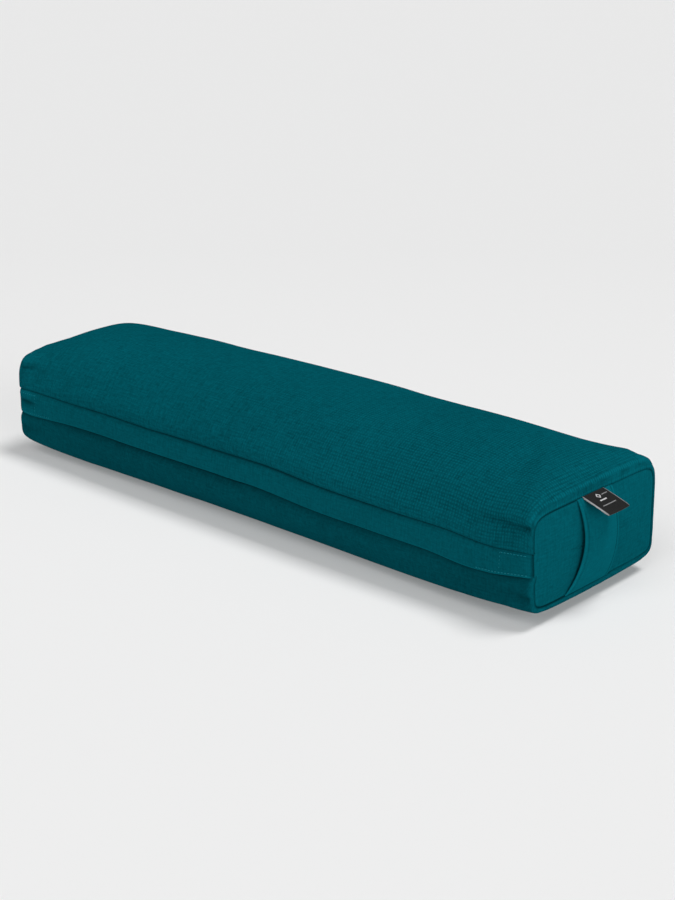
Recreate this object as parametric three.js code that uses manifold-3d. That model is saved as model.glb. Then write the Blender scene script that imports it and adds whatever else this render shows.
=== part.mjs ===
// Rectangular yoga bolster, built in millimetres with +Z up and standing on its underside.
// The origin is on the floor under the middle of the bolster. X runs along its length, with the
// carrying handle at the +X end. The zip and its cover flap are on the -Y side.
//
// The bolster is a zipped canvas cover around a zipped lining bag full of buckwheat hulls.
// One formula gives the skin of the stuffed form: pillowSection. The cover, the lining and the
// filling are the same form, each set in from the last by a cloth thickness and a small gap.

import * as THREE from "three";
import { mergeVertices } from "three/addons/utils/BufferGeometryUtils.js";
import Module from "manifold-3d";

const wasm = await Module();
wasm.setup();

// ---- driving dimensions -------------------------------------------------------------------

const LENGTH = 650; // seam to seam
const END_WIDTH = 171; // the flat panel at each end
const END_HEIGHT = 82;
const END_LIFT = 17.5; // the underside curves up to the end seams
const SIDE_PUFF = 6.5; // how far each side swells past the end panel
const TOP_PUFF = 29.5;
const REST_FLAT = 1.5; // how much of the underside the floor flattens
const GAP = 0.4; // between neighbouring pieces

const COVER_CLOTH = 1.2;
const LINING_CLOTH = 0.8;
const END_CLOTH = 1.4;
const LINING_INSET = COVER_CLOTH + GAP;
const FILL_INSET = LINING_INSET + LINING_CLOTH + GAP;

const FLAP_TOP_Z = 67.7; // the two edges of the zip flap, where they meet the side
const FLAP_LOW_Z = 46.1;
const FLAP_PROUD = 1.0;
const FLAP_CLOTH = 1.6;
const FLAP_GAP = 0.6;
const FLAP_FREE = 592; // the length between its sewn-down ends

const COVER_ZIP = { name: "cover_zip", length: 570, depth: 8.8 };
const LINING_ZIP = { name: "lining_zip", length: 280, depth: 8.6 };
const TAPE_CLOTH = 0.6;
const TAPE_WIDTH = 13.2;
const TAPE_SPLIT = 1.6; // clear line between the two tapes, where the slider's post runs
const COIL_RADIUS = 1.1;
const SLIDER_LENGTH = 11;
const SLIDER_WIDTH = 8.6;
const SLIDER_PLATE = 0.9;
const PULL_LENGTH = 22;
const PULL_WIDTH = 6;
const PULL_THICK = 0.9;
const ZIP_STOP_LENGTH = 3;
const SLIDER_BACK = 1.9; // how far the slider reaches behind the tapes

const HANDLE_WIDTH = 48;
const HANDLE_CENTRE_Y = -6.4;
const HANDLE_LOW_Z = 20;
const HANDLE_TOP_Z = 96;
const HANDLE_BOW = 10;
const HANDLE_CLOTH = 1.6;

const LABEL_WIDTH = 31;
const LABEL_LENGTH = 26.2;
const LABEL_THICK = 1.4;
const LABEL_SLIT = 0.4; // between the two layers of the folded label
const LABEL_CENTRE_Y = -9.4;
const LABEL_Z = 98.9;
const LABEL_DROOP = THREE.MathUtils.degToRad(17);

const SECTION_POINTS = 28;
const STATIONS = 16;

// ---- materials ----------------------------------------------------------------------------

function cloth(name, color, roughness = 0.9) {
  return new THREE.MeshStandardMaterial({ name, color, roughness, metalness: 0 });
}

const CANVAS = cloth("teal canvas", 0x05545c);
const STRAP_CLOTH = cloth("teal strap", 0x06585f);
const LINING = cloth("natural cotton", 0xd8cfb8);
const HULLS = cloth("buckwheat hulls", 0x3b2a20);
const LABEL = cloth("black woven label", 0x15161a, 0.7);
const TAPE = cloth("teal zip tape", 0x07474e);
const COIL = new THREE.MeshStandardMaterial({ name: "zip coil", color: 0x0a3d44, roughness: 0.45 });
const METAL = new THREE.MeshStandardMaterial({
  name: "zip metal",
  color: 0x8f9296,
  roughness: 0.35,
  metalness: 1,
});

// ---- solids -------------------------------------------------------------------------------

function toSolid(geometry) {
  const bare = geometry.index ? geometry.toNonIndexed() : geometry.clone();
  bare.deleteAttribute("normal");
  bare.deleteAttribute("uv");
  const merged = mergeVertices(bare, 1e-4);
  const vertProperties = new Float32Array(merged.attributes.position.array);
  const triVerts = new Uint32Array(merged.index.array);
  return new wasm.Manifold(new wasm.Mesh({ numProp: 3, vertProperties, triVerts }));
}

// Cuts leave a few splinters where a plane just misses a corner: edges this short are closed up.
const SHORTEST_EDGE = 0.02;

function toGeometry(solid) {
  const mesh = solid.simplify(SHORTEST_EDGE).getMesh();
  const geometry = new THREE.BufferGeometry();
  geometry.setAttribute("position", new THREE.BufferAttribute(mesh.vertProperties, 3));
  geometry.setIndex(new THREE.BufferAttribute(mesh.triVerts, 1));
  geometry.computeVertexNormals();
  return geometry;
}

function box(low, high) {
  const size = high.map((value, axis) => value - low[axis]);
  const geometry = new THREE.BoxGeometry(...size);
  geometry.translate(...high.map((value, axis) => (value + low[axis]) / 2));
  return geometry;
}

function addPiece(parent, name, geometry, material) {
  const mesh = new THREE.Mesh(geometry, material);
  mesh.name = name;
  parent.add(mesh);
  return mesh;
}

// ---- the stuffed form ---------------------------------------------------------------------

function swell(u, power) {
  return Math.sqrt(Math.max(0, 1 - Math.abs(u) ** power));
}

// The cross-section at x of the form set in by inset: its centre height, half width, the heights
// above and below the centre, and how square its upper and lower corners are.
function pillowSection(x, inset) {
  const u = Math.min(1, Math.abs(x) / (LENGTH / 2 - inset));
  const side = swell(u, 18);
  const crown = swell(u, 7);
  const belly = swell(u, 7);
  const soften = swell(u, 17);
  const centre = END_LIFT + 0.29 * END_HEIGHT;
  const top = END_LIFT + END_HEIGHT + TOP_PUFF * crown - inset;
  const bottom = END_LIFT * (1 - belly) - REST_FLAT * belly + inset;
  return {
    centre,
    halfWidth: END_WIDTH / 2 + SIDE_PUFF * side - inset,
    above: top - centre,
    below: centre - bottom,
    squareTop: THREE.MathUtils.lerp(10.5, 2.45, soften),
    squareLow: THREE.MathUtils.lerp(9, 3.1, soften),
    floor: inset,
  };
}

function sectionPoint(section, angle) {
  const upper = Math.sin(angle) > 0;
  const power = 2 / (upper ? section.squareTop : section.squareLow);
  const height = upper ? section.above : section.below;
  const round = (value) => Math.sign(value) * Math.abs(value) ** power;
  const y = section.halfWidth * round(Math.cos(angle));
  const z = section.centre + height * round(Math.sin(angle));
  return [y, Math.max(z, section.floor)];
}

// The side of the form at height z, as a distance from the middle plane.
function sideAt(x, z, inset) {
  const section = pillowSection(x, inset);
  const rise = Math.min(1, Math.abs(z - section.centre) / section.above);
  return section.halfWidth * (1 - rise ** section.squareTop) ** (1 / section.squareTop);
}

function pillowGeometry(inset) {
  const positions = [];
  const index = [];
  const half = LENGTH / 2 - inset;
  for (let station = 0; station <= STATIONS; station += 1) {
    const x = -half * Math.cos((Math.PI * station) / STATIONS);
    const section = pillowSection(x, inset);
    for (let step = 0; step < SECTION_POINTS; step += 1) {
      const angle = (2 * Math.PI * (step + 0.5)) / SECTION_POINTS;
      positions.push(x, ...sectionPoint(section, angle));
    }
  }
  for (let station = 0; station < STATIONS; station += 1) {
    for (let step = 0; step < SECTION_POINTS; step += 1) {
      const next = (step + 1) % SECTION_POINTS;
      const a = station * SECTION_POINTS + step;
      const b = station * SECTION_POINTS + next;
      const c = a + SECTION_POINTS;
      const d = b + SECTION_POINTS;
      index.push(a, b, c, b, d, c);
    }
  }
  const middle = END_LIFT + END_HEIGHT / 2;
  for (const station of [0, STATIONS]) {
    const hub = positions.length / 3;
    positions.push(station === 0 ? -half : half, 0, middle);
    for (let step = 0; step < SECTION_POINTS; step += 1) {
      const a = station * SECTION_POINTS + step;
      const b = station * SECTION_POINTS + ((step + 1) % SECTION_POINTS);
      index.push(...(station === 0 ? [hub, b, a] : [hub, a, b]));
    }
  }
  const geometry = new THREE.BufferGeometry();
  geometry.setAttribute("position", new THREE.Float32BufferAttribute(positions, 3));
  geometry.setIndex(index);
  return geometry;
}

function pillow(inset) {
  return toSolid(pillowGeometry(inset));
}

// ---- where the two closures sit -----------------------------------------------------------

// A frame on the side of the form: x along the bolster, -y straight out of the cloth, z up along
// it. side is -1 at the front and 1 at the back, where the frame is turned half round.
function closureFrame(side) {
  const middleZ = (FLAP_TOP_Z + FLAP_LOW_Z) / 2;
  const topY = sideAt(0, FLAP_TOP_Z, 0);
  const lowY = sideAt(0, FLAP_LOW_Z, 0);
  const frame = new THREE.Group();
  frame.position.set(0, (side * (topY + lowY)) / 2, middleZ);
  frame.rotation.order = "ZYX";
  frame.rotation.z = side > 0 ? Math.PI : 0;
  frame.rotation.x = -Math.atan2(lowY - topY, FLAP_TOP_Z - FLAP_LOW_Z);
  frame.updateMatrix();
  return frame;
}

const FRONT = closureFrame(-1);
const BACK = closureFrame(1);
const FAR_OUT = 30; // well outside the cloth

// Half the height between a closure's folded edges, along the sloping side.
const SLOT = (FLAP_TOP_Z - FLAP_LOW_Z) / 2 + 2 * FLAP_GAP;

function boxIn(frame, low, high) {
  return toSolid(box(low, high).applyMatrix4(frame.matrix));
}

// The space behind a closure that the layers inside it are set back from.
function recess(frame, zip) {
  const half = zip.length / 2 + 19;
  const reach = TAPE_SPLIT / 2 + TAPE_WIDTH + GAP;
  return boxIn(frame, [-half, -FAR_OUT, -reach], [half, zip.depth + SLIDER_BACK + 0.7, reach]);
}

// The cloth edges above and below a closure, folded in as far as the zip tapes.
function foldedEdges(frame, zip, inset) {
  const half = zip.length / 2 + 15;
  const folds = [1, -1].map((side) => {
    const edges = [side * SLOT, side * (SLOT + COVER_CLOTH)].sort((a, b) => a - b);
    return boxIn(frame, [-half, -FAR_OUT, edges[0]], [half, zip.depth - 0.3, edges[1]]);
  });
  return folds[0].add(folds[1]).intersect(pillow(inset));
}

// ---- the zips -----------------------------------------------------------------------------

// Side view of the slider, x along the zip and y out of the cloth, as a solid across the tapes:
// two wings joined by a post that runs between the coils, with an arch on top for the pull.
function sliderGeometry() {
  const half = SLIDER_LENGTH / 2;
  const wide = SLIDER_WIDTH / 2;
  const under = -(2 * COIL_RADIUS + 0.7); // underside of the front wing
  const front = under - SLIDER_PLATE;
  const arch = front - 2.5;
  const postHalf = TAPE_SPLIT / 2 - 0.3;
  const back = TAPE_CLOTH + 0.4;
  const archHalf = 3.4;
  const bar = 0.9;
  const parts = [
    box([-half, front, -wide], [half, under, wide]),
    box([-half, back, -wide], [half, back + SLIDER_PLATE, wide]),
    box([half - 2.5, front + 0.2, -postHalf], [half, back + 0.2, postHalf]),
    box([-half, under - 0.2, -wide], [half, -0.3, -wide + 0.7]),
    box([-half, under - 0.2, wide - 0.7], [half, -0.3, wide]),
    box([-archHalf, arch, -1], [-archHalf + bar, front + 0.2, 1]),
    box([archHalf - bar, arch, -1], [archHalf, front + 0.2, 1]),
    box([-archHalf, arch, -1], [archHalf, arch + bar, 1]),
  ];
  return toGeometry(parts.map(toSolid).reduce((all, part) => all.add(part)));
}

// The pull lies flat on the slider and points along -x. Its loop goes round the arch's far leg.
function pullGeometry() {
  const front = -(2 * COIL_RADIUS + 0.7) - SLIDER_PLATE;
  const outer = front - 0.4 - PULL_THICK;
  const eyeStart = -5.1;
  const loopEnd = -1.4;
  const half = PULL_WIDTH / 2;
  const plate = toSolid(box([loopEnd - PULL_LENGTH, outer, -half], [loopEnd, front - 0.4, half]));
  const eye = toSolid(box([eyeStart, outer - 1, -1.5], [loopEnd - 0.8, front + 1, 1.5]));
  const gripEnd = loopEnd - PULL_LENGTH;
  const grip = toSolid(box([gripEnd + 2.5, outer - 1, -1.6], [gripEnd + 9, front + 1, 1.6]));
  return toGeometry(plate.subtract(eye).subtract(grip));
}

function stopGeometry(sign, coilEnd) {
  const start = coilEnd + sign * 0.4;
  const end = start + sign * ZIP_STOP_LENGTH;
  const reach = TAPE_SPLIT / 2 + 2 * COIL_RADIUS;
  return box(
    [Math.min(start, end), -2 * COIL_RADIUS - 0.3, -reach],
    [Math.max(start, end), -0.3, reach],
  );
}

// A zip in a closure frame: two tapes, two coils, a slider with its pull, and a stop at each end.
// The slider is at the closed end, near +x of the frame.
function addZip(parent, frame, zip) {
  const group = new THREE.Group();
  group.applyMatrix4(frame.matrix);
  group.translateY(zip.depth);
  parent.add(group);
  const half = zip.length / 2;
  const coilHalf = half - 8;
  for (const [place, side] of [["upper", 1], ["lower", -1]]) {
    const edges = [(side * TAPE_SPLIT) / 2, side * (TAPE_SPLIT / 2 + TAPE_WIDTH)].sort((a, b) => a - b);
    const tape = box([-half, 0, edges[0]], [half, TAPE_CLOTH, edges[1]]);
    addPiece(group, `${zip.name}_tape_${place}`, tape, TAPE);
    const coil = new THREE.CylinderGeometry(COIL_RADIUS, COIL_RADIUS, 2 * coilHalf, 8);
    coil.rotateZ(Math.PI / 2);
    coil.translate(0, -COIL_RADIUS - 0.3, side * (TAPE_SPLIT / 2 + COIL_RADIUS));
    addPiece(group, `${zip.name}_coil_${place}`, coil, COIL);
  }
  addPiece(group, `${zip.name}_stop_near`, stopGeometry(1, coilHalf), METAL);
  addPiece(group, `${zip.name}_stop_far`, stopGeometry(-1, -coilHalf), METAL);
  const park = coilHalf - SLIDER_LENGTH / 2 - 1;
  const slider = addPiece(group, `${zip.name}_slider`, sliderGeometry(), METAL);
  const pull = addPiece(group, `${zip.name}_pull`, pullGeometry(), METAL);
  slider.position.x = park;
  pull.position.x = park;
}

// ---- handle and label ---------------------------------------------------------------------

// The strap's curve in side view: held at both ends and bowed out between them.
function handleOutline() {
  const steps = 14;
  const inner = [];
  const outer = [];
  for (let step = 0; step <= steps; step += 1) {
    const part = step / steps;
    const z = THREE.MathUtils.lerp(HANDLE_LOW_Z, HANDLE_TOP_Z, part);
    const bow = HANDLE_BOW * Math.sin(Math.PI * part) ** 0.75;
    inner.push(new THREE.Vector2(LENGTH / 2 + 0.3 + bow, z));
    outer.push(new THREE.Vector2(LENGTH / 2 + 0.3 + HANDLE_CLOTH + bow, z));
  }
  return new THREE.Shape([...inner, ...outer.reverse()]);
}

// An outline drawn in x and z, made solid across y and centred on centreY.
function acrossY(shape, width, centreY) {
  const geometry = new THREE.ExtrudeGeometry(shape, { depth: width, bevelEnabled: false });
  geometry.rotateX(Math.PI / 2);
  geometry.translate(0, centreY + width / 2, 0);
  return geometry;
}

// A label folded double at its free end. x runs out of the seam.
function labelOutline() {
  const half = LABEL_THICK / 2;
  const slit = LABEL_SLIT / 2;
  const shape = new THREE.Shape();
  shape.moveTo(0, -half);
  shape.lineTo(LABEL_LENGTH - half, -half);
  shape.absarc(LABEL_LENGTH - half, 0, half, -Math.PI / 2, Math.PI / 2, false);
  shape.lineTo(0, half);
  shape.lineTo(0, slit);
  shape.lineTo(LABEL_LENGTH - 1, slit);
  shape.lineTo(LABEL_LENGTH - 1, -slit);
  shape.lineTo(0, -slit);
  shape.closePath();
  return shape;
}

// ---- assembly -----------------------------------------------------------------------------

const bolster = new THREE.Group();
const wide = LENGTH; // further than any piece reaches
const SEAM_X = LENGTH / 2 - END_CLOTH;

function between(lowX, highX) {
  return toSolid(box([lowX, -wide, -wide], [highX, wide, wide]));
}

// The strip of the front side between two heights, from lowX to highX.
function frontStrip(lowX, highX, lowZ, highZ) {
  return toSolid(box([lowX, -wide, lowZ], [highX, -END_WIDTH / 4, highZ]));
}

// A shell of the form between two insets, open at both ends, and the two panels that close it.
function addSkin(names, inset, clothThickness, endThickness, shape, material) {
  const end = LENGTH / 2 - inset;
  const seam = end - endThickness;
  const outer = pillow(inset);
  const tube = outer.subtract(pillow(inset + clothThickness)).intersect(between(0.3 - seam, seam - 0.3));
  addPiece(bolster, names.body, toGeometry(shape(tube)), material);
  addPiece(bolster, names.near, toGeometry(outer.intersect(between(seam, wide))), material);
  addPiece(bolster, names.far, toGeometry(outer.intersect(between(-wide, -seam))), material);
}

addSkin(
  { body: "cover_body", near: "handle_end_panel", far: "far_end_panel" },
  0,
  COVER_CLOTH,
  END_CLOTH,
  (tube) => {
    const slot = frontStrip(-wide, wide, FLAP_LOW_Z - FLAP_GAP, FLAP_TOP_Z + FLAP_GAP);
    return tube.subtract(slot).add(foldedEdges(FRONT, COVER_ZIP, 0));
  },
  CANVAS,
);

addSkin(
  { body: "lining_bag_body", near: "lining_near_end", far: "lining_far_end" },
  LINING_INSET,
  LINING_CLOTH,
  LINING_CLOTH,
  (tube) => {
    const half = LINING_ZIP.length / 2;
    const window = boxIn(BACK, [-half, -FAR_OUT, -SLOT], [half, 2 * FAR_OUT, SLOT]);
    return tube
      .subtract(recess(FRONT, COVER_ZIP))
      .subtract(window)
      .add(foldedEdges(BACK, { ...LINING_ZIP, length: LINING_ZIP.length - 30 }, LINING_INSET));
  },
  LINING,
);

const filling = pillow(FILL_INSET).subtract(recess(FRONT, COVER_ZIP)).subtract(recess(BACK, LINING_ZIP));
addPiece(bolster, "buckwheat_filling", toGeometry(filling), HULLS);

// The flap is one strip, sewn down for a short way at each end and free to lift between.
const flapSkin = pillow(-FLAP_PROUD).subtract(pillow(FLAP_CLOTH - FLAP_PROUD));

function addFlap(name, lowX, highX) {
  const strip = frontStrip(lowX, highX, FLAP_LOW_Z, FLAP_TOP_Z);
  addPiece(bolster, name, toGeometry(flapSkin.intersect(strip)), CANVAS);
}

addFlap("zip_flap", -FLAP_FREE / 2, FLAP_FREE / 2);
addFlap("zip_flap_near_end", FLAP_FREE / 2 + 0.3, SEAM_X - 0.3);
addFlap("zip_flap_far_end", 0.3 - SEAM_X, -FLAP_FREE / 2 - 0.3);

addZip(bolster, FRONT, COVER_ZIP);
addZip(bolster, BACK, LINING_ZIP);

const handle = acrossY(handleOutline(), HANDLE_WIDTH, HANDLE_CENTRE_Y);
addPiece(bolster, "handle_strap", handle, STRAP_CLOTH);

const label = addPiece(bolster, "woven_label", acrossY(labelOutline(), LABEL_WIDTH, 0), LABEL);
label.position.set(LENGTH / 2 + 1.2, LABEL_CENTRE_Y, LABEL_Z);
label.rotation.y = LABEL_DROOP;

export default bolster;
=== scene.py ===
"""A rectangular yoga bolster: canvas cover with a zip flap, handle and label, on a pale studio floor."""

import itertools
import math

import bpy
import numpy as np
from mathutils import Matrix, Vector


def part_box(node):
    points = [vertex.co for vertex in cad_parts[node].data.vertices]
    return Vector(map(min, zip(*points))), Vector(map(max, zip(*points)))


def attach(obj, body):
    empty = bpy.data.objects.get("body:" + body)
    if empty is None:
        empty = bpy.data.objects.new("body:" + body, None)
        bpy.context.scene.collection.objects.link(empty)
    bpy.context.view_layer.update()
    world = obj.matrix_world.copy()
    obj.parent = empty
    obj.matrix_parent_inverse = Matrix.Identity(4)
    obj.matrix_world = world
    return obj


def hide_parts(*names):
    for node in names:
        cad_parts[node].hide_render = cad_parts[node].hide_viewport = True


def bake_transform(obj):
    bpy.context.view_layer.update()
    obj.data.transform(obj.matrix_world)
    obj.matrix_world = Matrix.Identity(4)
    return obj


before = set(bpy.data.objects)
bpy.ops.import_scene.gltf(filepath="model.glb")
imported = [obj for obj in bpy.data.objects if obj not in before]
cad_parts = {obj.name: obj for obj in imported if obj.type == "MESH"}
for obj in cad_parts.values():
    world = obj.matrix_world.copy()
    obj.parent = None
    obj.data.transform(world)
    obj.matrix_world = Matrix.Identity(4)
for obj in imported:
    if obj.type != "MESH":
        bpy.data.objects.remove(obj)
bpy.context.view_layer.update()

# ---- sizes, in metres, from the frame ----

MM = 0.001


def low(node):
    return np.array(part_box(node)[0])


def high(node):
    return np.array(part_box(node)[1])


HALF = high("handle_end_panel")[0]  # the end seams are at x = -HALF and +HALF
COVER_TOP = high("cover_body")[2]
COVER_HALF_WIDTH = high("cover_body")[1]
FLAP_TOP = high("zip_flap")[2]
FLAP_LOW = low("zip_flap")[2]
TAPE_Y = low("cover_zip_tape_upper")[1]
SLIDER_LOW = low("cover_zip_slider")[2]
SLIDER_BACK = high("cover_zip_slider")[1]
STRAP_LOW, STRAP_HIGH = low("handle_strap"), high("handle_strap")
LABEL_LOW, LABEL_HIGH = low("woven_label"), high("woven_label")

END_HALF_WIDTH = 85.5 * MM  # the end seam's outline
END_HEIGHT = 82 * MM
END_LIFT = 17.5 * MM
REST_FLAT = 1.5 * MM  # how far the underside is pressed flat against the floor
SIDE_PUFF = COVER_HALF_WIDTH - END_HALF_WIDTH
TOP_PUFF = COVER_TOP - END_LIFT - END_HEIGHT
CENTRE_Z = END_LIFT + 0.29 * END_HEIGHT  # where the sides are widest
END_MIDDLE = np.array([0, END_LIFT + END_HEIGHT / 2])  # y and z of the middle of each end

CANVAS_THICK = 1.0 * MM
WRAP_TURN = (1.1 * MM, 0.45 * MM)  # how far from the seam the wrap starts to turn in, and by how much
END_TURN = (1.0 * MM, 0.6 * MM)
END_SQUARE, MIDDLE_SQUARE = 10.5, 2.45  # powers of the section's upper curve, at an end and in the middle
LOW_END_SQUARE, LOW_MIDDLE_SQUARE = 9, 3.1  # and of its lower curve
FAR_ROUNDING = 5  # the far end is stuffed that much rounder at the top


# ---- small helpers ----

def smooth(edge_low, edge_high, value):
    t = np.clip((value - edge_low) / (edge_high - edge_low), 0, 1)
    return t * t * (3 - 2 * t)


def bump(value, centre, width):
    return np.exp(-(((value - centre) / width) ** 2))


SCATTER = (374761393, 668265263, 2147483647, 1274126177)  # large factors that scatter the noise's lattice


def soft_noise(x, y, z, size, seed):
    """Smooth noise from -1 to 1 at each point, with features about size metres across."""
    place = [np.asarray(part, float) / size + seed * 17.3 for part in np.broadcast_arrays(x, y, z)]
    corner = [np.floor(part).astype(np.int64) for part in place]
    within = [part - base for part, base in zip(place, corner)]
    ease = [part * part * part * (part * (part * 6 - 15) + 10) for part in within]
    total = 0.0
    for dx, dy, dz in itertools.product((0, 1), repeat=3):
        mixed = sum((part + step) * by for part, step, by in zip(corner, (dx, dy, dz), SCATTER))
        mixed = (mixed ^ (mixed >> 13)) * SCATTER[3]
        value = ((mixed ^ (mixed >> 16)) & 0xFFFF) / 32767.5 - 1
        for step, part in zip((dx, dy, dz), ease):
            value = value * (part if step else 1 - part)
        total = total + value
    return total


def mesh_object(name, vertices, faces):
    """A smooth-shaded object in the scene, made of these vertices and faces."""
    mesh = bpy.data.meshes.new(name)
    mesh.from_pydata([tuple(v) for v in vertices], [], [tuple(f) for f in faces])
    mesh.validate()
    mesh.update()
    for polygon in mesh.polygons:
        polygon.use_smooth = True
    made = bpy.data.objects.new(name, mesh)
    bpy.context.scene.collection.objects.link(made)
    return made


def grid_faces(rows, columns, closed=False, start=0):
    """Quads between the rows of a grid of vertices. A closed grid joins its last column to its first."""
    faces = []
    for row in range(rows - 1):
        for column in range(columns if closed else columns - 1):
            after = (column + 1) % columns
            a = start + row * columns + column
            b = start + row * columns + after
            faces.append((a, b, b + columns, a + columns))
    return faces


def tube_faces(rings, sides, start=0):
    """The quads of a tube of rings, and the two faces that close its ends."""
    last = start + (rings - 1) * sides
    caps = [tuple(start + k for k in reversed(range(sides))), tuple(last + k for k in range(sides))]
    return grid_faces(rings, sides, closed=True, start=start) + caps


def unit(vectors):
    return vectors / np.maximum(np.linalg.norm(vectors, axis=-1, keepdims=True), 1e-12)


def facing_away(normals, away):
    """The normals, turned round where they point against the direction away."""
    return np.where(np.sum(normals * away, axis=-1, keepdims=True) < 0, -normals, normals)


def round_turns(sides):
    return [2 * math.pi * side / sides for side in range(sides)]


def distance_around(points):
    """How far each point of a grid lies along its row, in metres."""
    return np.cumsum(np.linalg.norm(np.gradient(points, axis=1), axis=2), axis=1)


def apply_modifiers(piece):
    depsgraph = bpy.context.evaluated_depsgraph_get()
    final = bpy.data.meshes.new_from_object(piece.evaluated_get(depsgraph))
    piece.modifiers.clear()
    piece.data = final
    return piece


def subdivide(piece):
    piece.modifiers.new("fine", "SUBSURF").levels = 1
    return apply_modifiers(piece)


def thicken(piece, thickness, offset=-1.0):
    """Gives a sheet of cloth its thickness: on its back at offset -1, on both sides at offset 0."""
    modifier = piece.modifiers.new("cloth", "SOLIDIFY")
    modifier.thickness = thickness
    modifier.offset = offset
    return apply_modifiers(piece)


# ---- the stuffed form ----

def swell(u, power):
    """1 in the middle and 0 at the ends, falling off later the higher the power."""
    return np.sqrt(np.maximum(0, 1 - np.abs(u) ** power))


def section(x):
    """The cross-section at x: half width, height above and below the centre, and its squareness."""
    u = np.minimum(1, np.abs(x) / HALF)
    side, crown, belly, soften = swell(u, 18), swell(u, 7.3), swell(u, 7), swell(u, 17)
    far = smooth(0, HALF, -np.asarray(x))
    end_square = END_SQUARE - FAR_ROUNDING * far
    front_soften = soften * (1 - far) + swell(u, 40) * far
    bottom = END_LIFT * (1 - belly) - REST_FLAT * belly
    return {
        "half_width": END_HALF_WIDTH + SIDE_PUFF * side,
        "above": END_LIFT + END_HEIGHT + TOP_PUFF * crown - CENTRE_Z,
        "below": CENTRE_Z - bottom,
        "square_top": end_square + (MIDDLE_SQUARE - end_square) * soften,
        "square_front": END_SQUARE + (MIDDLE_SQUARE - END_SQUARE) * front_soften,
        "square_low": LOW_END_SQUARE + (LOW_MIDDLE_SQUARE - LOW_END_SQUARE) * soften,
    }


def section_points(shape, angle):
    """y and z of the section at each angle, which starts at +y and turns up over the top."""
    upper = np.sin(angle) > 0
    square_upper = np.where(np.cos(angle) < 0, shape["square_front"], shape["square_top"])
    power = 2 / np.where(upper, square_upper, shape["square_low"])
    height = np.where(upper, shape["above"], shape["below"])
    y = shape["half_width"] * np.sign(np.cos(angle)) * np.abs(np.cos(angle)) ** power
    z = CENTRE_Z + height * np.sign(np.sin(angle)) * np.abs(np.sin(angle)) ** power
    return y, np.maximum(z, 0)


def front_angle(shape, z):
    """The angle where the front side, at -y, is at height z above the centre."""
    rise = np.clip((z - CENTRE_Z) / shape["above"], 0, 1)
    return math.pi - np.arcsin(rise ** (shape["square_front"] / 2))


def seam_lean(x, y, z):
    """How far the near end seam is sewn off centre in y: forward at its top front corner."""
    lean = (1.3 - 0.08 * (z / MM - 18)) * MM * np.exp(-(HALF - np.minimum(x, HALF)) / (14 * MM))
    return lean * (0.3 + 0.7 * smooth(60 * MM, -60 * MM, y))


def front_y(x, z):
    """Where the front side is in y, at x and height z."""
    shape = section(x)
    y = section_points(shape, front_angle(shape, z))[0]
    return y + seam_lean(x, y, z)


def evenly(y, z, count):
    """The same curve with its points at equal steps along it."""
    steps = np.hypot(np.diff(y), np.diff(z))
    along = np.concatenate([[0], np.cumsum(steps)])
    wanted = np.linspace(0, along[-1], count)
    return np.interp(wanted, along, y), np.interp(wanted, along, z)


def stations(count, end):
    """x positions along the bolster from -end to end, closer together near the ends."""
    s = np.linspace(-1, 1, count)
    return end * (0.35 * s + 0.65 * np.sin(math.pi * s / 2))


def outward_normals(points):
    """Unit normals of a grid of points, pointing away from the bolster's middle line."""
    normals = unit(np.cross(np.gradient(points, axis=1), np.gradient(points, axis=0)))
    return facing_away(normals, points - (points * [1, 0, 0] + [0, 0, CENTRE_Z]))


# ---- the flap's edges ----

def flap_edges(x):
    """Heights of the flap's sewn top edge and its free lower edge along x, which both wander."""
    x = np.asarray(x)
    wander = 0.3 * MM * np.sin(x / 0.041 + 1.3) + 0.2 * MM * np.sin(x / 0.017)
    near_turn = smooth(0.287, HALF, x)  # both edges turn up into the near end seam
    rise = 2.4 - 3.3 * smooth(0.02, 0.13, x) - 1.8 * bump(x, 0.274, 0.026) + 2.4 * near_turn
    droop = 4.2 * smooth(0.0, 0.13, x) + 3.4 * bump(x, 0.262, 0.032) + 4.2 * bump(x, -0.305, 0.05)
    lower = FLAP_LOW + (3.9 - droop + 2.9 * near_turn) * MM
    return FLAP_TOP + rise * MM + wander, lower + 0.7 * wander


# ---- materials ----

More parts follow.
